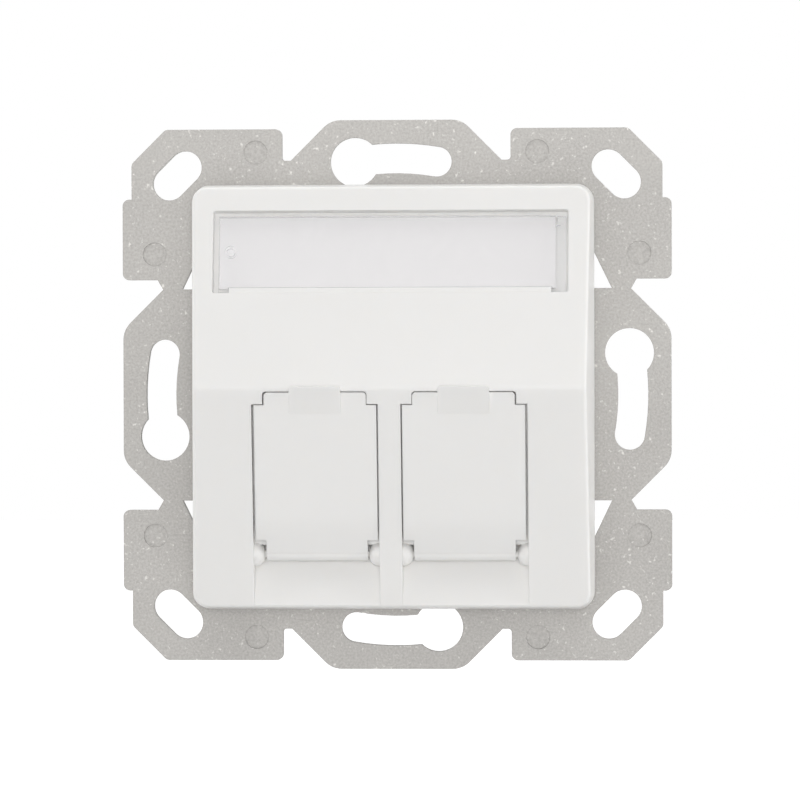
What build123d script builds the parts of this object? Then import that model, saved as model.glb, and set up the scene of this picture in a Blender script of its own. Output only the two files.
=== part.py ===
from build123d import *
from math import asin, atan2, cos, radians, sin, sqrt, tan
import os

# A two-port data outlet for a wall box, in millimetres and degrees.
# It is drawn lying on its back: x to the right, y up the wall, z out of the wall, with z = 0 on the
# wall face, at the centre of the steel frame. Each piece is stood up when it is written.

# Cuts and cores
past = 1.0
through = 40.0

# Steel support frame
steel_thickness = 1.2
screw_circle_radius = 30.0
lobe_margin = 4.85
lobe_half_width = 8.3
lobe_corner_radius = 3.0
notch_drop = 5.1
notch_width = 1.13
corner_piece_height = 4.0
corner_chamfer = 4.35
ear_excess = 0.05
ear_top_above_notch = 10.37
ear_root_step = 0.7
ear_notch_excess = 0.1
outer_corner_radius = 0.85
inner_corner_radius = 0.45
slot_width = 3.8
slot_end_angle = 9.9
slot_entry_angle = 10.1
slot_entry_radius = 3.1
corner_slot_inset = 5.85
corner_slot_width = 4.2
corner_slot_travel = 2.9
dimple_from_notch = 3.37
dimple_inset = 2.95
dimple_radius = 1.5
dimple_depth = 0.15
opening_half_height = 22.5
opening_tab_half_height = 13.45
opening_corner_reach = 27.3
opening_slant = 64.0

# Where the cover and all that it carries sit on the steel frame
insert_shift_x = -0.45
insert_shift_y = -0.28

# Cover plate
plate_height = 53.9
plate_corner_radius = 2.3
plate_draft = 5.5
plate_wall = 1.8
plate_skin = 1.8
plate_edge_radius = 0.5
fold_y = 1.2
fold_rise = 9.0
fold_radius = 2.0
upper_tilt = 11.0
lower_tilt = 9.0
floor_thickness = 1.2
rib_thickness = 1.0
rib_gap = 0.5
long_rib_y = 6.0
short_rib_y = -15.0

# Window for the label, measured up the upper face from the fold
window_side_margin = 3.15
window_height = 10.58
window_from_fold = 12.2
window_depth = 1.5
window_corner_radius = 0.3
sill_inset = 2.1
sill_height = 0.65
sill_drop = 0.1
pane_sink = 0.3
pane_left_margin = 0.77
pane_right_margin = 0.98
pane_top_margin = 0.7
pane_clearance = 0.1
pane_foot_reach = 0.7
pane_foot_root = 0.4
pane_foot_thickness = 0.6
pane_notch_width = 0.6
pane_notch_height = 1.25
pry_hole_radius = 0.5
pry_ring_radius = 0.8
pry_ring_depth = 0.25
pry_hole_from_end = 1.5
card_thickness = 0.3
card_end_gap = 0.2
card_gap = 0.05

# Flap recesses, measured down the lower face from the fold
port_pitch = 18.76
recess_width = 15.9
recess_depth = 1.3
recess_shoulder = 2.05
recess_top = 0.44
recess_top_half_width = 6.55
recess_corner_radius = 0.45
port_width = 14.0
port_top = 4.3
port_bottom = 17.1
hinge_down = 21.5
hinge_depth = 1.65
hinge_groove_radius = 1.25
boss_root = 0.5
scoop_rim = 27.7

# Dust flaps
flap_side_gap = 0.24
flap_top_gap = 0.12
flap_inset = 0.06
flap_thickness = 1.0
flap_notch_top = 19.48
flap_tongue_half_width = 6.4
flap_foot_start = 16.6
flap_foot_radius = 12.0
flap_foot_angle = 8.0
flap_end_from_hinge = 0.3
barrel_radius = 0.85
tab_width = 6.45
tab_start = 3.3
tab_reach = 0.3
tab_rise = 0.65
tab_clearance = 0.15
tab_edge_radius = 0.3
boss_radius = 1.5
boss_round = 1.2
boss_clearance = 0.12
pivot_radius = 0.45
pivot_length = 0.9
pivot_clearance = 0.05

# Jack carrier
flange_thickness = 1.5
flange_top = 21.0
flange_bottom = -15.5
flange_corner_radius = 1.5
sleeve_wall = 1.5
sleeve_front = 5.2
sleeve_back = 19.0
jack_clearance = 0.15
hook_window_clearance = 0.15
sleeve_to_tab_end = 0.92
flange_to_plate_wall = 0.55
carrier_screw_to_tab_end = 2.1
carrier_screw_to_flange_end = 1.9
carrier_screw_y = 9.0
carrier_screw_radius = 1.1
carrier_screw_length = 5.5
screw_clearance = 0.05
screw_head_radius = 1.9
screw_head_height = 1.2
screw_recess_width = 0.5
screw_recess_span = 2.0
screw_recess_depth = 0.6
plate_screw_x = 17.0
plate_screw_y = 17.4
plate_screw_radius = 1.2
plate_screw_length = 9.0
plate_screw_head_radius = 2.2
plate_screw_sink = 0.45
carrier_post_radius = 3.0
carrier_post_length = 6.0
web_core_width = 1.4
web_core_height = 12.0
web_core_depth = 9.0
gusset_thickness = 1.2
gusset_offset = 5.5
gusset_run = 4.5
gusset_drop = 7.0

# Jack, measured from its face, which is parallel to the lower face of the plate
jack_face_depth = 3.1
jack_centre_down = 10.7
jack_width = 14.5
jack_height = 16.0
jack_length = 17.0
jack_edge_chamfer = 0.4
shoulder_width = 0.7
shoulder_length = 0.95
hook_front = 9.0
hook_back = 12.0
hook_width = 5.8
hook_height = 1.3
hook_root = 0.5
arm_slit = 0.6
arm_front = 5.0
cavity_width = 11.9
cavity_top = 5.0
cavity_bottom = -1.8
cavity_depth = 13.0
latch_slot_width = 6.5
latch_slot_drop = 1.6
key_slot_width = 3.5
key_slot_drop = 1.5
contact_count = 8
contact_pitch = 1.02
contact_size = 0.4
contact_leg_height = 5.75
contact_bend_front = 3.6
contact_bend_radius = 0.5
contact_slope = 28.0
contact_free_length = 7.0
comb_clearance = 0.08
comb_front = 2.4
comb_top = 6.8
comb_rib_drop = 0.55
board_gap = 0.3
board_thickness = 1.6
board_margin = 0.5
board_hole_clearance = 0.1
block_length = 8.0
block_inset = 0.3
blade_pitch = 2.8
blade_row_inset = 2.8
blade_thickness = 0.5
blade_width = 2.2
blade_length = 6.5
blade_tail_width = 0.7
blade_slit_width = 0.35
blade_slit_length = 3.5
blade_clearance = 0.06
wire_slot_width = 1.3
wire_slot_depth = 4.5
wire_slot_inset = 1.5
cap_length = 6.5
cap_wall = 1.4
cap_edge_chamfer = 0.8
grip_groove_width = 0.7
grip_groove_depth = 0.35
grip_groove_pitch = 1.5
grip_groove_count = 3
cable_entry_radius = 3.6

# Places worked out from the sizes above
lobe_reach = screw_circle_radius + lobe_margin
notch_line = lobe_reach - notch_drop
corner_piece_start = lobe_half_width + notch_drop + notch_width
corner_piece_reach = notch_line + corner_piece_height
ear_reach = lobe_reach + ear_excess
ear_root = notch_line + ear_root_step
ear_start = corner_piece_start + ear_notch_excess
ear_top = corner_piece_start + ear_top_above_notch
corner_slot_centre = corner_piece_reach - corner_slot_inset
dimple_along = corner_piece_start + dimple_from_notch
dimple_out = corner_piece_reach - dimple_inset
sleeve_reach = port_pitch / 2 + jack_width / 2 + jack_clearance + sleeve_wall
opening_tab_inner = sleeve_reach + sleeve_to_tab_end
carrier_screw_x = opening_tab_inner + carrier_screw_to_tab_end
flange_half_width = carrier_screw_x + carrier_screw_to_flange_end
plate_width = 2 * (flange_half_width + flange_to_plate_wall + plate_wall)
window_width = plate_width - 2 * window_side_margin
insert_place = Pos(insert_shift_x, insert_shift_y, 0)
fold_z = steel_thickness + fold_rise
fold_point = (0, fold_y, fold_z)
upper_face = Plane(
    fold_point,
    x_dir=(1, 0, 0),
    z_dir=(0, sin(radians(upper_tilt)), cos(radians(upper_tilt))),
)
lower_face = Plane(
    fold_point,
    x_dir=(1, 0, 0),
    z_dir=(0, -sin(radians(lower_tilt)), cos(radians(lower_tilt))),
)
window_centre = window_from_fold + window_height / 2
flange_z = steel_thickness + flange_thickness
jack_face = lower_face * Pos(0, -jack_centre_down, -jack_face_depth)
blade_row = jack_height / 2 - blade_row_inset
board_face = jack_length + board_gap
block_face = board_face + board_thickness + board_gap
port_sides = {"left": -1, "right": 1}


def stand_up(shape):
    """Turn a piece drawn lying on its back so that its front faces -Y and its top is +Z."""
    return Rot(90, 0, 0) * shape


def save(name, shape):
    """Write one node, stood up, to its own file."""
    export_step(stand_up(shape), f"parts/{name}.step")


def slab(x0, x1, y0, y1, z0, z1):
    """A block given by its two corners."""
    block = Box(x1 - x0, y1 - y0, z1 - z0, align=(Align.MIN, Align.MIN, Align.MIN))
    return Pos(x0, y0, z0) * block


def side_profile(points, half_width):
    """A closed side view of (y, z) points, drawn out equally to both sides."""
    outline = make_face(Polyline(*[(0, y, z) for y, z in points], close=True))
    return extrude(outline, amount=half_width, dir=(1, 0, 0), both=True)


# Steel support frame


def mirrored_outline(quarter):
    """Repeat the points of the upper right quarter in all four."""
    right = quarter + [(x, -y) for x, y in reversed(quarter)]
    return right + [(-x, y) for x, y in reversed(right)]


def frame_blank():
    chamfer_edge = corner_piece_reach - corner_chamfer
    quarter = [
        (lobe_half_width, lobe_reach),
        (lobe_half_width + notch_drop, notch_line),
        (corner_piece_start, notch_line),
        (corner_piece_start, corner_piece_reach),
        (chamfer_edge, corner_piece_reach),
        (corner_piece_reach, chamfer_edge),
        (corner_piece_reach, ear_top),
        (ear_reach, ear_top),
        (ear_reach, ear_start),
        (ear_root, ear_start),
        (notch_line, lobe_half_width + notch_drop),
        (lobe_reach, lobe_half_width),
    ]
    blank = make_face(Polyline(*mirrored_outline(quarter), close=True))
    lobes = [v for v in blank.vertices() if min(abs(v.X), abs(v.Y)) < lobe_half_width + 0.1]
    blank = fillet(lobes, lobe_corner_radius)
    ears = [
        v
        for v in blank.vertices()
        if min(abs(v.X), abs(v.Y)) > corner_piece_start - 0.1
        and max(abs(v.X), abs(v.Y)) > corner_piece_reach - 0.1
        and not (abs(abs(v.X) - corner_piece_reach) < 0.1 and abs(abs(v.Y) - ear_top) < 0.1)
    ]
    blank = fillet(ears, outer_corner_radius)
    roots = [
        v
        for v in blank.vertices()
        if abs(abs(v.X) - corner_piece_start) < 0.01 and abs(abs(v.Y) - notch_line) < 0.01
    ]
    return fillet(roots, inner_corner_radius)


def frame_opening():
    slant_run = (opening_half_height - opening_tab_half_height) / tan(radians(opening_slant))
    quarter = [
        (opening_corner_reach - slant_run, opening_half_height),
        (opening_corner_reach, opening_tab_half_height),
        (opening_tab_inner, opening_tab_half_height),
    ]
    return make_face(Polyline(*mirrored_outline(quarter), close=True))


def keyhole():
    arc = CenterArc((0, 0), screw_circle_radius, 90 - slot_end_angle, slot_end_angle + slot_entry_angle)
    entry = Rot(0, 0, slot_entry_angle) * Pos(0, screw_circle_radius) * Circle(slot_entry_radius)
    return SlotArc(arc, slot_width) + entry


def support_frame():
    sheet = frame_blank() - frame_opening()
    corner_slot = (
        Pos(corner_slot_centre, corner_slot_centre)
        * Rot(0, 0, -45)
        * SlotCenterToCenter(corner_slot_travel, corner_slot_width)
    )
    for turn in range(4):
        sheet -= Rot(0, 0, 90 * turn) * keyhole()
        sheet -= Rot(0, 0, 90 * turn) * corner_slot
    for x, y in carrier_screw_places():
        hole = Circle(carrier_screw_radius + screw_clearance)
        sheet -= Pos(x + insert_shift_x, y + insert_shift_y) * hole
    frame = extrude(sheet, amount=steel_thickness)
    dimple = Pos(0, 0, steel_thickness - dimple_depth) * Cylinder(
        dimple_radius, 2 * dimple_depth, align=(Align.CENTER, Align.CENTER, Align.MIN)
    )
    for side_x in (-1, 1):
        for side_y in (-1, 1):
            frame -= Pos(side_x * dimple_along, side_y * dimple_out, 0) * dimple
            frame -= Pos(side_x * dimple_out, side_y * dimple_along, 0) * dimple
    return frame


# Cover plate


def plate_block(wall, skin):
    """The tapered block under the two slanted faces, or its hollow, a wall and a skin smaller."""
    outline = RectangleRounded(
        plate_width - 2 * wall, plate_height - 2 * wall, plate_corner_radius - wall / 2
    )
    block = Pos(0, 0, steel_thickness) * extrude(outline, amount=fold_rise + past, taper=plate_draft)
    reach = plate_height / 2 + past
    top_z = fold_z - (reach - fold_y) * tan(radians(upper_tilt)) - skin
    bottom_z = fold_z - (reach + fold_y) * tan(radians(lower_tilt)) - skin
    points = [(-reach, 0), (reach, 0), (reach, top_z), (fold_y, fold_z - skin), (-reach, bottom_z)]
    wedge = side_profile(points, plate_width)
    ridge = wedge.edges().filter_by(Axis.X).sort_by(Axis.Z)[-1]
    return block & fillet(ridge, fold_radius)


def plate_rim(block):
    """The front edges of the block, all the way round, without the ends of the fold."""
    front_faces = [face for face in block.faces() if face.normal_at().Z > cos(radians(45))]
    wall_faces = [face for face in block.faces() if abs(face.normal_at().Z) < sin(radians(45))]
    on_walls = [edge for face in wall_faces for edge in face.edges()]
    return [
        edge
        for face in front_faces
        for edge in face.edges()
        if any(edge.is_same(other) for other in on_walls)
    ]


def recess_outline(side_gap, top_gap):
    """Outline of a flap's recess, or with gaps that of what lies in it, down to the hinge."""
    half = recess_width / 2 - side_gap
    narrow = recess_top_half_width - top_gap
    shoulder = -recess_shoulder - top_gap
    top = -recess_top - top_gap
    left = [(-half, -hinge_down), (-half, shoulder), (-narrow, shoulder), (-narrow, top)]
    right = [(-x, y) for x, y in reversed(left)]
    face = make_face(Polyline(*left, *right, close=True))
    corners = [v for v in face.vertices() if v.Y > top - 0.01]
    return fillet(corners, recess_corner_radius)


def scoop_profile(extra):
    """Side view of the scoop and hinge groove below a flap, or its outside, an extra depth larger."""
    hinge = (-hinge_down, -hinge_depth)
    run = scoop_rim - hinge_down
    reach = sqrt(run**2 + hinge_depth**2)
    ramp_length = sqrt(reach**2 - hinge_groove_radius**2)
    ramp_angle = atan2(hinge_depth, run) + asin(hinge_groove_radius / reach)
    rim = (-scoop_rim, 0)
    foot = (rim[0] + ramp_length * cos(ramp_angle), -ramp_length * sin(ramp_angle))
    back = (hinge[0] + hinge_groove_radius, hinge[1])
    low = (
        hinge[0] + hinge_groove_radius * sin(radians(45)),
        hinge[1] - hinge_groove_radius * cos(radians(45)),
    )
    outline = Line(rim, foot) + ThreePointArc(foot, low, back)
    outline += Polyline(back, (back[0], past), (rim[0], past), rim)
    face = make_face(outline)
    return offset(face, extra) if extra else face


def across(face, half_width):
    """Draw a (y, z) side view out to both sides, in the axes of the lower face."""
    upright = Plane((0, 0, 0), x_dir=(0, 1, 0), z_dir=(1, 0, 0))
    return extrude(upright * face, amount=half_width, both=True)


def port_pocket(extra):
    """Recess and scoop of one port, in the axes of the lower face, or their outside with an extra."""
    deep = Pos(0, 0, -recess_depth - extra) * extrude(
        recess_outline(-extra, -extra), amount=recess_depth + extra + past
    )
    return deep + across(scoop_profile(extra), recess_width / 2 + extra)


def window_pocket(extra):
    size_x = window_width + 2 * extra
    size_y = window_height + 2 * extra
    outline = RectangleRounded(size_x, size_y, window_corner_radius + extra)
    depth = window_depth + extra
    return Pos(0, window_centre, -depth) * extrude(outline, amount=depth + past)


def label_recess():
    """The window's pocket with the raised sill below the clear pane."""
    half = window_width / 2 - sill_inset
    low = -window_height / 2
    sill = slab(-half, half, low - past, low + sill_height, -window_depth - past, -sill_drop)
    return window_pocket(0) - Pos(0, window_centre, 0) * sill


def port_places():
    return [lower_face * Pos(side * port_pitch / 2, 0, 0) for side in port_sides.values()]


def pivot_boss(side):
    """Rounded boss on one side wall of a recess, with the pin that carries the flap."""
    wall_x = recess_width / 2
    reach = wall_x - flap_tongue_half_width - flap_inset - boss_clearance
    boss = Cylinder(boss_radius, reach + boss_root, align=(Align.CENTER, Align.CENTER, Align.MIN))
    end = boss.edges().group_by(Axis.Z)[-1]
    boss = Pos(0, 0, -boss_root) * fillet(end, min(boss_round, reach))
    pin_length = reach + pivot_length
    pin = Cylinder(pivot_radius, pin_length, align=(Align.CENTER, Align.CENTER, Align.MIN))
    turned = Rot(0, -90 * side, 0) * (boss + pin)
    return Pos(side * wall_x, -hinge_down, -hinge_depth) * turned


def plate_screw_places():
    return [(side * plate_screw_x, plate_screw_y) for side in (-1, 1)]


def plate_screw_top():
    """Height of the top of the plate screws, just under the sloping floor of the window."""
    floor_drop = (plate_screw_y - fold_y) * tan(radians(upper_tilt))
    return fold_z - floor_drop - window_depth / cos(radians(upper_tilt)) - plate_screw_sink


def countersink(radius_extra):
    """Plate screw's form from its head down, or with an extra radius its hole."""
    head_height = plate_screw_head_radius - plate_screw_radius
    head = Cone(
        plate_screw_radius + radius_extra,
        plate_screw_head_radius + radius_extra,
        head_height,
        align=(Align.CENTER, Align.CENTER, Align.MAX),
    )
    shank = Cylinder(
        plate_screw_radius + radius_extra,
        plate_screw_length,
        align=(Align.CENTER, Align.CENTER, Align.MAX),
    )
    return head + shank


def plate_ribs():
    """Stiffening ribs on the hidden side: one right across and a short one beside each port."""
    reach = plate_width / 2
    half = rib_thickness / 2
    foot = flange_z + rib_gap
    ribs = slab(-reach, reach, long_rib_y - half, long_rib_y + half, foot, fold_z)
    short_start = port_pitch / 2 + recess_width / 2
    for x0, x1 in ((-reach, -short_start), (short_start, reach)):
        ribs += slab(x0, x1, short_rib_y - half, short_rib_y + half, foot, fold_z)
    return ribs


def cover_plate():
    block = plate_block(0, 0)
    body = fillet(plate_rim(block), plate_edge_radius)
    hollow = plate_block(plate_wall, plate_skin)
    hollow = hollow - upper_face * window_pocket(floor_thickness)
    for place in port_places():
        hollow -= place * port_pocket(floor_thickness)
    top = plate_screw_top()
    for x, y in plate_screw_places():
        post = Cylinder(carrier_post_radius, through, align=(Align.CENTER, Align.CENTER, Align.MIN))
        hollow -= Pos(x, y, flange_z) * post
    plate = body - (hollow - plate_ribs())
    plate -= upper_face * label_recess()
    for x, y in plate_screw_places():
        plate -= Pos(x, y, top) * countersink(screw_clearance)
        recess = Cylinder(
            plate_screw_head_radius + screw_clearance, through,
            align=(Align.CENTER, Align.CENTER, Align.MIN),
        )
        plate -= Pos(x, y, top) * recess
    for place in port_places():
        port = slab(-port_width / 2, port_width / 2, -port_bottom, -port_top, -through, past)
        plate -= place * (port_pocket(0) + port)
        for side in (-1, 1):
            plate += place * pivot_boss(side)
    return plate


# Label


def pane_sizes():
    """Left, right, bottom and top of the clear pane, about the middle of the window's pocket."""
    return (
        -window_width / 2 + pane_left_margin,
        window_width / 2 - pane_right_margin,
        -window_height / 2 + sill_height + pane_clearance,
        window_height / 2 - pane_top_margin,
    )


def label_window():
    """Clear pane on the card, with a foot at its right end and a tab beside each end of the sill."""
    left, right, bottom, top = pane_sizes()
    under = -window_depth + card_thickness + card_gap
    pane = slab(left, right, bottom, top, under, -pane_sink)
    pane -= slab(right - pane_notch_width, right, top - pane_notch_height, top, under, 0)
    tab_end = -window_height / 2 + pane_clearance
    sill_end = window_width / 2 - sill_inset + pane_clearance
    pane += slab(left, -sill_end, tab_end, bottom, under, -pane_sink)
    pane += slab(sill_end, right, tab_end, bottom, under, -pane_sink)
    pane += slab(
        right - pane_foot_root, right + pane_foot_reach, tab_end, top,
        -window_depth + card_gap, -window_depth + pane_foot_thickness,
    )
    hole_place = Pos(left + pry_hole_from_end, (top + bottom) / 2, -pane_sink)
    pane -= hole_place * Cylinder(pry_hole_radius, 4 * window_depth)
    pane -= hole_place * Cylinder(pry_ring_radius, 2 * pry_ring_depth)
    return upper_face * Pos(0, window_centre, 0) * pane


def label_card():
    left, right, bottom, top = pane_sizes()
    card_right = right - pane_foot_root - card_end_gap
    card = slab(left, card_right, bottom, top, -window_depth, -window_depth + card_thickness)
    return upper_face * Pos(0, window_centre, 0) * card


# Dust flaps


def flap_panel():
    """The flap's plate with its notched lower corners, in the axes of the lower face."""
    outline = recess_outline(flap_side_gap, flap_top_gap)
    panel = Pos(0, 0, -flap_thickness) * extrude(outline, amount=flap_thickness)
    notch = slab(
        flap_tongue_half_width, recess_width, -through, -flap_notch_top, -through, through
    )
    return panel - notch - mirror(notch, about=Plane.YZ)


def flap_foot():
    """Side view of what the bend at the foot of the flap takes off its front."""
    turn = radians(flap_foot_angle)
    start = (-flap_foot_start, 0)
    joint = (start[0] - flap_foot_radius * sin(turn), -flap_foot_radius * (1 - cos(turn)))
    middle = (
        start[0] - flap_foot_radius * sin(turn / 2),
        -flap_foot_radius * (1 - cos(turn / 2)),
    )
    end_y = -hinge_down + flap_end_from_hinge
    end = (end_y, joint[1] - (joint[0] - end_y) * tan(turn))
    bend = ThreePointArc(start, middle, joint)
    rest = Polyline(joint, end, (end_y, past), (start[0], past), start)
    return make_face(bend + rest)


def grip_tab():
    """Wedge at the top of the flap, which stands over the fold of the plate."""
    points = [
        (-tab_start, 0),
        (tab_reach, tab_rise),
        (tab_reach, tab_clearance),
        (-recess_top - flap_top_gap, tab_clearance),
        (-recess_top - flap_top_gap, -flap_thickness / 2),
        (-tab_start, -flap_thickness / 2),
    ]
    tab = side_profile(points, tab_width / 2)
    slope = tab.faces().sort_by(Axis.Z)[-1]
    sides = [edge for edge in slope.edges() if abs(edge.center().X) > tab_width / 2 - 0.01]
    return fillet(sides, tab_edge_radius)


def dust_flap():
    """One flap about its own centre line, in the axes of the lower face."""
    panel = flap_panel() - across(flap_foot(), recess_width)
    lip_cut = slab(
        -recess_width, recess_width, -through, -hinge_down + flap_end_from_hinge, -through, through
    )
    panel -= lip_cut
    barrel = Rot(0, 90, 0) * Cylinder(barrel_radius, 2 * flap_tongue_half_width)
    foot = slab(
        -flap_tongue_half_width, flap_tongue_half_width,
        -hinge_down + flap_end_from_hinge, -hinge_down + barrel_radius,
        -hinge_depth, -flap_thickness / 2,
    )
    foot -= across(flap_foot(), recess_width)
    flap = panel + foot + Pos(0, -hinge_down, -hinge_depth) * barrel + grip_tab()
    bore_length = 2 * (pivot_length + boss_clearance + pivot_clearance)
    bore = Rot(0, 90, 0) * Cylinder(pivot_radius + pivot_clearance, bore_length + 2 * flap_inset)
    for side in (-1, 1):
        flap -= Pos(side * flap_tongue_half_width, -hinge_down, -hinge_depth) * bore
    return flap


# Jack carrier and screws


def carrier_screw_places():
    return [(x * carrier_screw_x, y * carrier_screw_y) for x in (-1, 1) for y in (-1, 1)]


def gusset():
    """Triangular web between the back of the flange and the top of a sleeve."""
    root_y = fold_y - jack_centre_down
    tip_y = fold_y + gusset_run
    foot = -gusset_drop
    points = [(root_y, flange_z), (tip_y, flange_z), (tip_y, 0), (fold_y, foot), (root_y, foot)]
    return side_profile(points, gusset_thickness / 2)


def hook_windows():
    """Openings in the top and the bottom of a sleeve, in which the jack's hooks catch."""
    half = hook_width / 2 + hook_window_clearance
    reach = jack_height / 2 + 2 * sleeve_wall
    back = -hook_back - hook_window_clearance
    return slab(-half, half, -reach, reach, back, -hook_front + hook_window_clearance)


def jack_carrier():
    width = 2 * flange_half_width
    flange = slab(-width / 2, width / 2, flange_bottom, flange_top, steel_thickness, flange_z)
    flange = fillet(flange.edges().filter_by(Axis.Z), flange_corner_radius)
    hole_x = jack_width / 2 + jack_clearance
    hole_y = jack_height / 2 + jack_clearance
    wall_y = hole_y + sleeve_wall
    sleeve = slab(-sleeve_reach, sleeve_reach, -wall_y, wall_y, -sleeve_back, -sleeve_front)
    carrier = flange + lower_face * Pos(0, -jack_centre_down, 0) * sleeve
    core = slab(
        -web_core_width / 2, web_core_width / 2, -web_core_height / 2, web_core_height / 2,
        -sleeve_back - past, -sleeve_back + web_core_depth,
    )
    carrier -= lower_face * Pos(0, -jack_centre_down, 0) * core
    for side in port_sides.values():
        for gusset_side in (-1, 1):
            gusset_x = side * port_pitch / 2 + gusset_side * gusset_offset
            carrier += Pos(gusset_x, 0, 0) * gusset()
        hole = slab(-hole_x, hole_x, -hole_y, hole_y, -sleeve_back - past, past)
        carrier -= lower_face * Pos(side * port_pitch / 2, -jack_centre_down, 0) * hole
        carrier -= jack_face * Pos(side * port_pitch / 2, 0, 0) * hook_windows()
    for x, y in plate_screw_places():
        post = Cylinder(
            carrier_post_radius, carrier_post_length, align=(Align.CENTER, Align.CENTER, Align.MAX)
        )
        carrier += Pos(x, y, steel_thickness) * post
        bore = Cylinder(plate_screw_radius + screw_clearance, through)
        carrier -= Pos(x, y, 0) * bore
    for x, y in carrier_screw_places():
        carrier -= Pos(x, y, 0) * Cylinder(carrier_screw_radius + screw_clearance, through)
    return carrier


def cross_recess():
    bar = Box(screw_recess_span, screw_recess_width, 2 * screw_recess_depth)
    return bar + Rot(0, 0, 90) * bar


def carrier_screws():
    head = Cylinder(
        screw_head_radius, screw_head_height, align=(Align.CENTER, Align.CENTER, Align.MIN)
    )
    head = fillet(head.edges().group_by(Axis.Z)[-1], screw_head_height / 2)
    shank = Cylinder(
        carrier_screw_radius, carrier_screw_length, align=(Align.CENTER, Align.CENTER, Align.MAX)
    )
    screw = head + shank - Pos(0, 0, screw_head_height) * cross_recess()
    return Compound([Pos(x, y, flange_z) * screw for x, y in carrier_screw_places()])


def plate_screws():
    screw = countersink(0) - cross_recess()
    top = plate_screw_top()
    return Compound([Pos(x, y, top) * screw for x, y in plate_screw_places()])


# Jacks, drawn about the centre of the jack's face, with z out of the face


def contact_places():
    return [contact_pitch * (i - (contact_count - 1) / 2) for i in range(contact_count)]


def plug_cavity():
    """The stepped hollow that takes the plug, its latch and the latch's key."""
    latch_bottom = cavity_bottom - latch_slot_drop
    key_bottom = latch_bottom - key_slot_drop
    room = slab(-cavity_width / 2, cavity_width / 2, cavity_bottom, cavity_top, -cavity_depth, past)
    room += slab(-latch_slot_width / 2, latch_slot_width / 2, latch_bottom, cavity_top, -cavity_depth, past)
    room += slab(-key_slot_width / 2, key_slot_width / 2, key_bottom, cavity_top, -cavity_depth, past)
    return room


def comb_half_width():
    return contact_pitch * contact_count / 2 + contact_size / 2


def jack_housing():
    body = slab(
        -jack_width / 2, jack_width / 2, -jack_height / 2, jack_height / 2, -jack_length, 0
    )
    front = body.faces().sort_by(Axis.Z)[-1]
    body = chamfer(front.edges(), jack_edge_chamfer)
    body += shoulder() + side_profile(hook_points(), hook_width / 2)
    body += mirror(side_profile(hook_points(), hook_width / 2), about=Plane.XZ)
    half = comb_half_width() + comb_clearance
    comb_room = slab(
        -half, half, cavity_top - past, comb_top + comb_clearance, -jack_length - past, -comb_front
    )
    return body - plug_cavity() - comb_room - arm_slits()


def shoulder():
    """Rim round the back of the housing, which stops it on the back of its sleeve."""
    half_x = jack_width / 2 + shoulder_width
    half_y = jack_height / 2 + shoulder_width
    return slab(-half_x, half_x, -half_y, half_y, -jack_length, -jack_length + shoulder_length)


def hook_points():
    """Side view of a snap hook: a ramp towards the front and a steep face behind."""
    root = jack_height / 2
    return [(root - hook_root, -hook_front), (root, -hook_front), (root + hook_height, -hook_back),
            (root - hook_root, -hook_back)]


def arm_slits():
    """U-shaped slit round the upper hook, which leaves it on a springy arm."""
    half = hook_width / 2 + arm_slit / 2
    bottom = comb_top
    top = jack_height / 2 + 2 * hook_height
    cut = slab(-half, half, bottom, top, -hook_back - arm_slit, -hook_back)
    for side in (-1, 1):
        cut += Pos(side * half, 0, 0) * slab(
            -arm_slit / 2, arm_slit / 2, bottom, top, -hook_back - arm_slit, -arm_front
        )
    return cut


def contact_comb():
    """Block over the contacts, with a rib between each two of them."""
    half = comb_half_width()
    back = -jack_length
    front = -comb_front - comb_clearance
    under = contact_leg_height + contact_size / 2 + comb_clearance
    comb = slab(-half, half, under, comb_top, back, front)
    rib_half = (contact_pitch - contact_size) / 2 - comb_clearance
    rib_bottom = contact_leg_height - contact_size / 2
    places = contact_places()
    middles = [(a + b) / 2 for a, b in zip(places, places[1:])]
    for x in middles:
        comb += slab(x - rib_half, x + rib_half, rib_bottom, under + comb_rib_drop, back, front)
    return comb


def contact(x):
    """One spring contact: a leg along the top, a turn near the front and a slope into the cavity."""
    slope = radians(contact_slope)
    leg_end = -(board_face + board_thickness + board_gap / 2)
    bend_z = -contact_bend_front
    centre_y = contact_leg_height - contact_bend_radius
    low_y = centre_y - contact_bend_radius * cos(slope)
    low_z = bend_z + contact_bend_radius * sin(slope)
    tip_y = low_y - contact_free_length * sin(slope)
    tip_z = low_z - contact_free_length * cos(slope)
    leg = Line((contact_leg_height, leg_end), (contact_leg_height, bend_z))
    turn = ThreePointArc(
        (contact_leg_height, bend_z),
        (centre_y, bend_z + contact_bend_radius),
        (low_y, low_z),
    )
    slope_line = Line((low_y, low_z), (tip_y, tip_z))
    half = contact_size / 2
    path = leg + turn + slope_line
    strip = make_face(offset(path, half, kind=Kind.TANGENT, side=Side.BOTH))
    upright = Plane((x, 0, 0), x_dir=(0, 1, 0), z_dir=(1, 0, 0))
    return extrude(upright * strip, amount=half, both=True)


def blade_places():
    """Eight places in two rows, each with the direction from the row to the nearer edge."""
    half_row = (contact_count / 2 - 1) / 2
    return [
        (blade_pitch * (i - half_row), row * blade_row, row)
        for row in (-1, 1)
        for i in range(contact_count // 2)
    ]


def circuit_board():
    half_x = jack_width / 2 - board_margin
    half_y = jack_height / 2 - board_margin
    board = slab(-half_x, half_x, -half_y, half_y, -board_face - board_thickness, -board_face)
    hole = contact_size + 2 * board_hole_clearance
    for x in contact_places():
        board -= Pos(x, contact_leg_height, -board_face) * Box(hole, hole, 4 * board_thickness)
    tail_x = blade_tail_width + 2 * board_hole_clearance
    tail_y = blade_thickness + 2 * board_hole_clearance
    for x, y, _ in blade_places():
        board -= Pos(x, y, -board_face) * Box(tail_x, tail_y, 4 * board_thickness)
    return board


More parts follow.
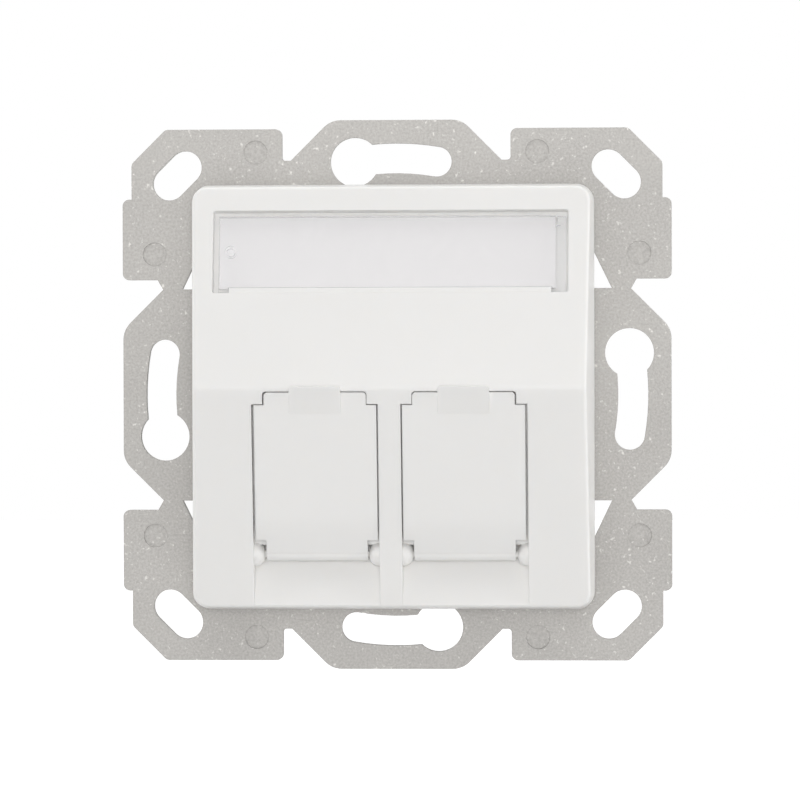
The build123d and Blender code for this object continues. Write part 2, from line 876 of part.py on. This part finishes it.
def insulation_blade(x, y):
    """Forked blade that cuts into a wire, with a tail through the board."""
    tail = slab(
        -blade_tail_width / 2, blade_tail_width / 2, -blade_thickness / 2, blade_thickness / 2,
        -block_face, -board_face,
    )
    fork = slab(
        -blade_width / 2, blade_width / 2, -blade_thickness / 2, blade_thickness / 2,
        -block_face - blade_length, -block_face,
    )
    slit = slab(
        -blade_slit_width / 2, blade_slit_width / 2, -blade_thickness, blade_thickness,
        -block_face - blade_length - past, -block_face - blade_length + blade_slit_length,
    )
    return Pos(x, y, 0) * (tail + fork - slit)


def terminal_block():
    """Block behind the board, with a slot for each blade and one for its wire."""
    half_x = jack_width / 2 - block_inset
    half_y = jack_height / 2 - block_inset
    back = -block_face - block_length
    block = slab(-half_x, half_x, -half_y, half_y, back, -block_face)
    for x, y, row in blade_places():
        half_w = blade_width / 2 + blade_clearance
        half_t = blade_thickness / 2 + blade_clearance
        block -= Pos(x, y, 0) * slab(
            -half_w, half_w, -half_t, half_t, back - past, -block_face + past
        )
        half_wire = wire_slot_width / 2
        y_in = y - row * wire_slot_inset
        y_out = row * (half_y + past)
        block -= slab(
            x - half_wire, x + half_wire, min(y_in, y_out), max(y_in, y_out),
            back - past, back + wire_slot_depth,
        )
    return block


def wire_cap():
    """Hollow cap pressed on behind the terminal block, with the cable's way in."""
    front = -block_face - block_length
    back = front - cap_length
    cap = slab(-jack_width / 2, jack_width / 2, -jack_height / 2, jack_height / 2, back, front)
    cap = chamfer(cap.faces().sort_by(Axis.Z)[0].edges(), cap_edge_chamfer)
    inside_x = jack_width / 2 - cap_wall
    inside_y = jack_height / 2 - cap_wall
    cap -= slab(-inside_x, inside_x, -inside_y, inside_y, back + cap_wall, front + past)
    cap = cap - Pos(0, 0, back) * Cylinder(cable_entry_radius, 4 * cap_wall)
    groove = Box(2 * grip_groove_depth, jack_height - 4 * cap_wall, grip_groove_width)
    for side in (-1, 1):
        for i in range(grip_groove_count):
            depth = (back + front) / 2 + (i - (grip_groove_count - 1) / 2) * grip_groove_pitch
            cap -= Pos(side * jack_width / 2, 0, depth) * groove
    return cap


def save_jack(name, side):
    """Write every piece of one jack."""
    place = insert_place * jack_face * Pos(side * port_pitch / 2, 0, 0)
    save(f"{name}_jack_housing", place * jack_housing())
    save(f"{name}_contact_comb", place * contact_comb())
    for number, x in enumerate(contact_places(), 1):
        save(f"{name}_contact_{number}", place * contact(x))
    save(f"{name}_circuit_board", place * circuit_board())
    save(f"{name}_terminal_block", place * terminal_block())
    for number, (x, y, _) in enumerate(blade_places(), 1):
        save(f"{name}_blade_{number}", place * insulation_blade(x, y))
    save(f"{name}_wire_cap", place * wire_cap())


def main():
    os.makedirs("parts", exist_ok=True)
    save("support_frame", support_frame())
    save("cover_plate", insert_place * cover_plate())
    save("label_window", insert_place * label_window())
    save("label_card", insert_place * label_card())
    save("jack_carrier", insert_place * jack_carrier())
    save("carrier_screws", insert_place * carrier_screws())
    save("plate_screws", insert_place * plate_screws())
    for name, side in port_sides.items():
        flap_place = lower_face * Pos(side * (port_pitch / 2 - flap_inset), 0, 0)
        save(f"{name}_flap", insert_place * flap_place * dust_flap())
        save_jack(name, side)


main()
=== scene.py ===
from math import cos, radians, sin

import bpy
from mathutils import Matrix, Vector


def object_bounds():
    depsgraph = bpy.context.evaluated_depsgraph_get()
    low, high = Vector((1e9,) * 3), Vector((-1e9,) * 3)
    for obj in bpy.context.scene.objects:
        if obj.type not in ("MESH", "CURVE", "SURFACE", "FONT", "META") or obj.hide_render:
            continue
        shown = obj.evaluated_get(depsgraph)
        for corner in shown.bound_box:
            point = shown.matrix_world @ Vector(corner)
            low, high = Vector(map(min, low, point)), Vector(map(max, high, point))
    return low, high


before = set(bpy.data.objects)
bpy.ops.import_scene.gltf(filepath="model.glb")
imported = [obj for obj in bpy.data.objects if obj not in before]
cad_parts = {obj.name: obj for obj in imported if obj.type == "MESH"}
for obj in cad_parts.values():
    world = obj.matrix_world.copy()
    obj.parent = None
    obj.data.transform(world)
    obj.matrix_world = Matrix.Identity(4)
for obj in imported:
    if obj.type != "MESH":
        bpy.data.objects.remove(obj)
cad_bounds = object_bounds()

MM = 0.001

# Camera: lengths in metres, turns in degrees, the width in pixels, the scale in pixels to a millimetre
CAMERA_DISTANCE = 600 * MM
CAMERA_YAW = 3.4
CAMERA_PITCH = 0.6
CAMERA_ROLL = -0.155
PICTURE_SCALE = 7.877
PICTURE_WIDTH = 800
SENSOR_WIDTH = 36.0
AIM_X = 0.42 * MM
AIM_Z = -0.56 * MM
NEAREST_SEEN = 10 * MM

# The part: front of the steel sheet, half the sheet's height, and the tilt of the label in degrees
STEEL_FRONT = 1.2 * MM
SHEET_REACH = 35 * MM
UPPER_TILT = 11.0

# Clouds in the tone of a finish, in waves to a metre, and the range that most of a noise lies in
MOULDING_CLOUDS = 45.0
ZINC_CLOUDS = 60.0
PANE_CLOUDS = 900.0
FLOOR_CLOUDS = 8.0
NOISE_LOW = 0.3
NOISE_HIGH = 0.7

# Depth of the grain, and radius by which a sharp edge is rounded over
RELIEF = 0.004 * MM
MOULDED_EDGE = 0.12 * MM
SHEARED_EDGE = 0.1 * MM
EDGE_SAMPLES = 6

# White plastic: how far its roughness varies, and how deep light goes in
ROUGHNESS_SWING = 0.05
PLASTIC_INDEX = 1.5
LIGHT_DEPTH = 0.8 * MM
LIGHT_DEPTH_TINT = (1.0, 0.95, 0.88)

# Zinc: the bright specks against its crystals, and the shares that make up its tone
SPECK_SCALE = 0.6
SPECK_LOW = 0.66
SPECK_HIGH = 0.74
SPECK_SHARE = 2.0
SPECK_GLOSS = 0.12
CLOUD_SHARE = 0.35

# Clear pane: faces turned less to the front than the first value are edges, and past the second are faces
PANE_EDGE_FACING = 0.4
PANE_FACE_FACING = 0.95
# The edges' opacity is painted reflection: the clear edges are drawn half opaque in place of the light that
# they reflect and bend.
PANE_PAINTED_EDGE_ALPHA = 0.5
PANE_FACE_ALPHA = 0.06
PANE_INDEX = 1.49

# Stage and light: lengths in metres, lamps in watts
FLOOR_SIZE = 6
FLOOR_DROP = 90 * MM
FLOOR_GLOW = 0.80
WORLD_LEVEL = 0.35
TOP_LAMP_SIZE = 1.2
LOW_LAMP_SIZE = 0.5
TOP_LAMP_PLACE = (-0.08, -0.06, 1.15)
TOP_LAMP_POWER = 7.0
FRONT_LAMP_PLACE = (0.03, -1.2, 0.07)
FRONT_LAMP_POWER = 5.3
LEFT_LAMP_PLACE = (-1.15, -0.12, 0.12)
LEFT_LAMP_POWER = 2.7
RIGHT_LAMP_PLACE = (1.15, -0.12, 0.12)
RIGHT_LAMP_POWER = 4.7


def srgb(red, green, blue):
    """A colour written as it shows on screen, 0 to 255, in the linear values that a shader takes."""
    values = []
    for part in (red, green, blue):
        part = part / 255
        values.append(part / 12.92 if part <= 0.04045 else ((part + 0.055) / 1.055) ** 2.4)
    return (*values, 1.0)


# Node trees


class Nodes:
    """Short names for adding and joining the nodes of one tree."""

    def __init__(self, tree):
        self.tree = tree

    def add(self, kind, **settings):
        node = self.tree.nodes.new(kind)
        for name, value in settings.items():
            setattr(node, name, value)
        return node

    def join(self, source, target):
        self.tree.links.new(source, target)

    def maths(self, operation, first, second=None):
        node = self.add("ShaderNodeMath", operation=operation)
        for socket, value in zip(node.inputs, (first, second)):
            self.feed(socket, value)
        return node.outputs[0]

    def feed(self, socket, value):
        if value is None:
            return
        if isinstance(value, bpy.types.NodeSocket):
            self.join(value, socket)
        else:
            socket.default_value = value

    def noise(self, vector, scale, detail=2.0, roughness=0.5):
        node = self.add("ShaderNodeTexNoise")
        self.join(vector, node.inputs["Vector"])
        self.feed(node.inputs["Scale"], scale)
        node.inputs["Detail"].default_value = detail
        node.inputs["Roughness"].default_value = roughness
        return node.outputs["Fac"]

    def spread(self, value, low, high, to_low=0.0, to_high=1.0):
        """A value that runs from low to high, stretched to run between two others."""
        node = self.add("ShaderNodeMapRange")
        self.feed(node.inputs["Value"], value)
        for name, limit in (("From Min", low), ("From Max", high), ("To Min", to_low), ("To Max", to_high)):
            self.feed(node.inputs[name], limit)
        return node.outputs["Result"]

    def swing(self, noise, low, high):
        """The middle range of a noise, stretched to run from low to high."""
        return self.spread(noise, NOISE_LOW, NOISE_HIGH, low, high)


def new_group(name, inputs, outputs):
    """An empty node group with named sockets, and its input and output nodes."""
    tree = bpy.data.node_groups.new(name, "ShaderNodeTree")
    for label, kind, value in inputs:
        socket = tree.interface.new_socket(label, in_out="INPUT", socket_type=kind)
        socket.default_value = value
    for label, kind in outputs:
        tree.interface.new_socket(label, in_out="OUTPUT", socket_type=kind)
    nodes = Nodes(tree)
    return nodes, nodes.add("NodeGroupInput"), nodes.add("NodeGroupOutput")


def place_group(nodes, group, **values):
    """A group placed in a material, with its inputs named by words joined with underscores."""
    node = nodes.add("ShaderNodeGroup", node_tree=group)
    for name, value in values.items():
        nodes.feed(node.inputs[name.replace("_", " ")], value)
    return node


# Grains that more than one finish uses


def moulded_grain_group():
    """Fine spark-eroded grain of a moulding, its size in millimetres, with a slow drift in its tone."""
    inputs = [("Grain Size", "NodeSocketFloat", 0.25), ("Drift", "NodeSocketFloat", 0.01)]
    nodes, entry, result = new_group(
        "moulded grain", inputs, [("Height", "NodeSocketFloat"), ("Tone", "NodeSocketFloat")]
    )
    place = nodes.add("ShaderNodeTexCoord").outputs["Object"]
    grain_scale = nodes.maths("DIVIDE", 1 / MM, entry.outputs["Grain Size"])
    nodes.join(nodes.noise(place, grain_scale), result.inputs["Height"])
    slow = nodes.swing(nodes.noise(place, MOULDING_CLOUDS), -1.0, 1.0)
    tone = nodes.maths("ADD", 1.0, nodes.maths("MULTIPLY", slow, entry.outputs["Drift"]))
    nodes.join(tone, result.inputs["Tone"])
    return nodes.tree


def zinc_grain_group():
    """Speckle of a dull zinc coat: fine crystals, sparse bright grains and slow clouds.

    The crystals' size is in millimetres. Drift is painted light from above: it makes the sheet a little
    lighter towards its top.
    """
    inputs = [
        ("Crystal Size", "NodeSocketFloat", 0.3),
        ("Contrast", "NodeSocketFloat", 0.05),
        ("Drift", "NodeSocketFloat", 0.0),
    ]
    nodes, entry, result = new_group(
        "zinc grain",
        inputs,
        [("Height", "NodeSocketFloat"), ("Tone", "NodeSocketFloat"), ("Gloss", "NodeSocketFloat")],
    )
    place = nodes.add("ShaderNodeTexCoord").outputs["Object"]
    scale = nodes.maths("DIVIDE", 1 / MM, entry.outputs["Crystal Size"])
    fine = nodes.swing(nodes.noise(place, scale, detail=3.0, roughness=0.65), -1.0, 1.0)
    cloud = nodes.swing(nodes.noise(place, ZINC_CLOUDS, detail=3.0), -1.0, 1.0)
    speck_scale = nodes.maths("MULTIPLY", scale, SPECK_SCALE)
    specks = nodes.spread(nodes.noise(place, speck_scale), SPECK_LOW, SPECK_HIGH)
    total = nodes.maths("ADD", fine, nodes.maths("MULTIPLY", cloud, CLOUD_SHARE))
    total = nodes.maths("ADD", total, nodes.maths("MULTIPLY", specks, SPECK_SHARE))
    tone = nodes.maths("ADD", 1.0, nodes.maths("MULTIPLY", total, entry.outputs["Contrast"]))
    # Painted light from above: the tone grows lighter towards the top of the sheet.
    apart = nodes.add("ShaderNodeSeparateXYZ")
    nodes.join(place, apart.inputs[0])
    painted_top_light = nodes.spread(apart.outputs["Z"], -SHEET_REACH, SHEET_REACH, -1.0, 1.0)
    tone = nodes.maths("ADD", tone, nodes.maths("MULTIPLY", painted_top_light, entry.outputs["Drift"]))
    nodes.join(tone, result.inputs["Tone"])
    nodes.join(fine, result.inputs["Height"])
    nodes.join(specks, result.inputs["Gloss"])
    return nodes.tree


# Finishes


def new_material(name):
    """A material with only a Principled shader and its output."""
    material = bpy.data.materials.new(name)
    material.use_nodes = True
    nodes = Nodes(material.node_tree)
    shader = material.node_tree.nodes["Principled BSDF"]
    return material, nodes, shader


def toned(nodes, colour, tone):
    """A plain colour made a little lighter and darker by a tone near 1."""
    scale = nodes.add("ShaderNodeVectorMath", operation="SCALE")
    scale.inputs[0].default_value = colour[:3]
    nodes.join(tone, scale.inputs["Scale"])
    return scale.outputs[0]


def soft_edges(nodes, height, radius):
    """Normal of a surface with a fine relief and its sharp edges rounded over."""
    bevel = nodes.add("ShaderNodeBevel", samples=EDGE_SAMPLES)
    bevel.inputs["Radius"].default_value = radius
    bump = nodes.add("ShaderNodeBump")
    bump.inputs["Strength"].default_value = 1.0
    bump.inputs["Distance"].default_value = RELIEF
    nodes.join(height, bump.inputs["Height"])
    nodes.join(bevel.outputs[0], bump.inputs["Normal"])
    return bump.outputs[0]


def moulding(name, colour, grain_group, roughness=0.42, grain=0.22, drift=0.008, translucency=0.0):
    """Moulded thermoplastic in one colour."""
    material, nodes, shader = new_material(name)
    group = place_group(nodes, grain_group, Grain_Size=grain, Drift=drift)
    nodes.join(toned(nodes, colour, group.outputs["Tone"]), shader.inputs["Base Color"])
    rough = nodes.swing(
        group.outputs["Height"], roughness - ROUGHNESS_SWING, roughness + ROUGHNESS_SWING
    )
    nodes.join(rough, shader.inputs["Roughness"])
    normal = soft_edges(nodes, group.outputs["Height"], MOULDED_EDGE)
    nodes.join(normal, shader.inputs["Normal"])
    shader.inputs["IOR"].default_value = PLASTIC_INDEX
    shader.inputs["Subsurface Weight"].default_value = translucency
    shader.inputs["Subsurface Radius"].default_value = LIGHT_DEPTH_TINT
    shader.inputs["Subsurface Scale"].default_value = LIGHT_DEPTH
    return material


def zinc(name, colour, grain_group, contrast=0.02, roughness=0.3, drift=0.0):
    """Bare metal with a dull coat, such as zinc-plated steel. Its drift is painted light from above,
    lighter towards the top of the sheet.
    """
    material, nodes, shader = new_material(name)
    group = place_group(nodes, grain_group, Contrast=contrast, Drift=drift)
    nodes.join(toned(nodes, colour, group.outputs["Tone"]), shader.inputs["Base Color"])
    rough = nodes.spread(group.outputs["Gloss"], 0.0, 1.0, roughness, roughness - SPECK_GLOSS)
    nodes.join(rough, shader.inputs["Roughness"])
    normal = soft_edges(nodes, group.outputs["Height"], SHEARED_EDGE)
    nodes.join(normal, shader.inputs["Normal"])
    shader.inputs["Metallic"].default_value = 1.0
    return material


def clear_moulding(name):
    """Clear window plastic: its front and back let the card show, and its edges are drawn half opaque, a
    painted reflection of the light that they catch.
    """
    material, nodes, shader = new_material(name)
    normal = nodes.add("ShaderNodeNewGeometry").outputs["True Normal"]
    facing = nodes.add("ShaderNodeVectorMath", operation="DOT_PRODUCT")
    nodes.join(normal, facing.inputs[0])
    facing.inputs[1].default_value = (0, -cos(radians(UPPER_TILT)), sin(radians(UPPER_TILT)))
    straight = nodes.maths("ABSOLUTE", facing.outputs["Value"])
    place = nodes.add("ShaderNodeTexCoord").outputs["Object"]
    faint = nodes.swing(nodes.noise(place, PANE_CLOUDS), -0.006, 0.006)
    # Painted reflection: faces turned away from the front are drawn more opaque.
    alpha = nodes.spread(
        straight, PANE_EDGE_FACING, PANE_FACE_FACING, PANE_PAINTED_EDGE_ALPHA, PANE_FACE_ALPHA
    )
    nodes.join(nodes.maths("ADD", alpha, faint), shader.inputs["Alpha"])
    shader.inputs["Base Color"].default_value = srgb(238, 239, 242)
    shader.inputs["Roughness"].default_value = 0.08
    shader.inputs["IOR"].default_value = PANE_INDEX
    return material


def gold(name, grain_group):
    """Gold plate over spring bronze, with a faint fine grain."""
    material, nodes, shader = new_material(name)
    group = place_group(nodes, grain_group, Grain_Size=0.12, Drift=0.03)
    nodes.join(toned(nodes, srgb(222, 178, 92), group.outputs["Tone"]), shader.inputs["Base Color"])
    rough = nodes.swing(group.outputs["Height"], 0.2, 0.32)
    nodes.join(rough, shader.inputs["Roughness"])
    shader.inputs["Metallic"].default_value = 1.0
    return material


def dress_nodes():
    """Give every CAD node the first finish whose key is in its name."""
    grain = moulded_grain_group()
    crystals = zinc_grain_group()
    white = moulding("white moulding", srgb(240, 239, 237), grain, translucency=0.3)
    flap_white = moulding("flap moulding", srgb(241, 240, 238), grain, translucency=0.3)
    # The sheet's drift is painted light from above: its tone is lighter towards the top.
    steel = zinc(
        "zinc-plated sheet", srgb(173, 171, 168), crystals, contrast=0.12, roughness=0.72, drift=0.045
    )
    screw_steel = zinc("zinc-plated screw", srgb(200, 200, 200), crystals, roughness=0.32)
    blade_metal = zinc("tinned blade", srgb(210, 208, 204), crystals)
    card = moulding("label card", srgb(244, 242, 242), grain, roughness=0.8, grain=0.1, drift=0.005)
    carrier = moulding("carrier moulding", srgb(226, 226, 222), grain, roughness=0.5)
    jack = moulding("jack moulding", srgb(200, 200, 190), grain, roughness=0.45)
    black = moulding("black moulding", srgb(38, 38, 40), grain, roughness=0.5)
    board = moulding("solder mask", srgb(28, 96, 58), grain, roughness=0.3, drift=0.05)
    clear = clear_moulding("clear moulding")
    plated = gold("gold plate", grain)
    finishes = {
        "support_frame": steel,
        "cover_plate": white,
        "flap": flap_white,
        "label_window": clear,
        "label_card": card,
        "jack_carrier": carrier,
        "wire_cap": carrier,
        "screws": screw_steel,
        "jack_housing": jack,
        "contact_comb": black,
        "terminal_block": black,
        "circuit_board": board,
        "blade": blade_metal,
        "contact": plated,
    }
    for name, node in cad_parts.items():
        finish = next(value for key, value in finishes.items() if key in name)
        for slot in node.material_slots:
            slot.material = finish


# Stage and light


def seen_rays(nodes):
    """1 for what the camera sees, straight, in a reflection or through a clear part."""
    path = nodes.add("ShaderNodeLightPath")
    seen = nodes.maths("MAXIMUM", path.outputs["Is Camera Ray"], path.outputs["Is Glossy Ray"])
    return nodes.maths("MAXIMUM", seen, path.outputs["Is Transmission Ray"])


def make_stage():
    """A pale floor below the part, white to the camera, which keeps the part's shadow."""
    bpy.ops.mesh.primitive_plane_add(size=FLOOR_SIZE, location=(0, 0, cad_bounds[0][2] - FLOOR_DROP))
    floor = bpy.context.object
    floor.name = "floor"
    material, nodes, shader = new_material("pale floor")
    place = nodes.add("ShaderNodeTexCoord").outputs["Object"]
    tone = nodes.swing(nodes.noise(place, FLOOR_CLOUDS), 0.985, 1.0)
    nodes.join(toned(nodes, srgb(205, 205, 205), tone), shader.inputs["Base Color"])
    shader.inputs["Roughness"].default_value = 0.9
    shader.inputs["Emission Color"].default_value = (1, 1, 1, 1)
    nodes.join(nodes.maths("MULTIPLY", seen_rays(nodes), FLOOR_GLOW), shader.inputs["Emission Strength"])
    floor.data.materials.append(material)


def make_world():
    """White background to the camera, in reflections and through clear parts; softer light elsewhere."""
    world = bpy.data.worlds.new("studio")
    bpy.context.scene.world = world
    world.use_nodes = True
    nodes = Nodes(world.node_tree)
    background = world.node_tree.nodes["Background"]
    strength = nodes.spread(seen_rays(nodes), 0.0, 1.0, WORLD_LEVEL, 1.0)
    nodes.join(strength, background.inputs["Strength"])
    background.inputs["Color"].default_value = (1, 1, 1, 1)


def add_lamp(name, place, size, power):
    """A soft square lamp that faces the part."""
    light = bpy.data.lights.new(name, "AREA")
    light.size = size
    light.energy = power
    lamp = bpy.data.objects.new(name, light)
    lamp.location = place
    lamp.rotation_euler = (-Vector(place)).to_track_quat("-Z", "Y").to_euler()
    bpy.context.collection.objects.link(lamp)


def make_lamps():
    add_lamp("top lamp", TOP_LAMP_PLACE, TOP_LAMP_SIZE, TOP_LAMP_POWER)
    add_lamp("front lamp", FRONT_LAMP_PLACE, LOW_LAMP_SIZE, FRONT_LAMP_POWER)
    add_lamp("left lamp", LEFT_LAMP_PLACE, LOW_LAMP_SIZE, LEFT_LAMP_POWER)
    add_lamp("right lamp", RIGHT_LAMP_PLACE, LOW_LAMP_SIZE, RIGHT_LAMP_POWER)


# Camera


def direction(yaw, pitch):
    """Unit vector that leaves the part's front, turned to the right by yaw and up by pitch."""
    yaw = radians(yaw)
    pitch = radians(pitch)
    return Vector((sin(yaw) * cos(pitch), -cos(yaw) * cos(pitch), sin(pitch)))


def make_camera():
    """A long lens a little to the right of the part, aimed at its middle."""
    aim = Vector((AIM_X, -STEEL_FRONT, AIM_Z))
    data = bpy.data.cameras.new("camera")
    camera = bpy.data.objects.new("camera", data)
    outward = direction(CAMERA_YAW, CAMERA_PITCH)
    camera.location = aim + outward * CAMERA_DISTANCE
    turn = (-outward).to_track_quat("-Z", "Y").to_euler()
    turn.rotate_axis("Z", radians(CAMERA_ROLL))
    camera.rotation_euler = turn
    data.sensor_fit = "HORIZONTAL"
    data.sensor_width = SENSOR_WIDTH
    data.lens = PICTURE_SCALE / MM * CAMERA_DISTANCE / PICTURE_WIDTH * SENSOR_WIDTH
    data.clip_start = NEAREST_SEEN
    bpy.context.collection.objects.link(camera)
    bpy.context.scene.camera = camera


dress_nodes()
make_stage()
make_world()
make_lamps()
make_camera()
bpy.context.scene.view_settings.view_transform = "Standard"
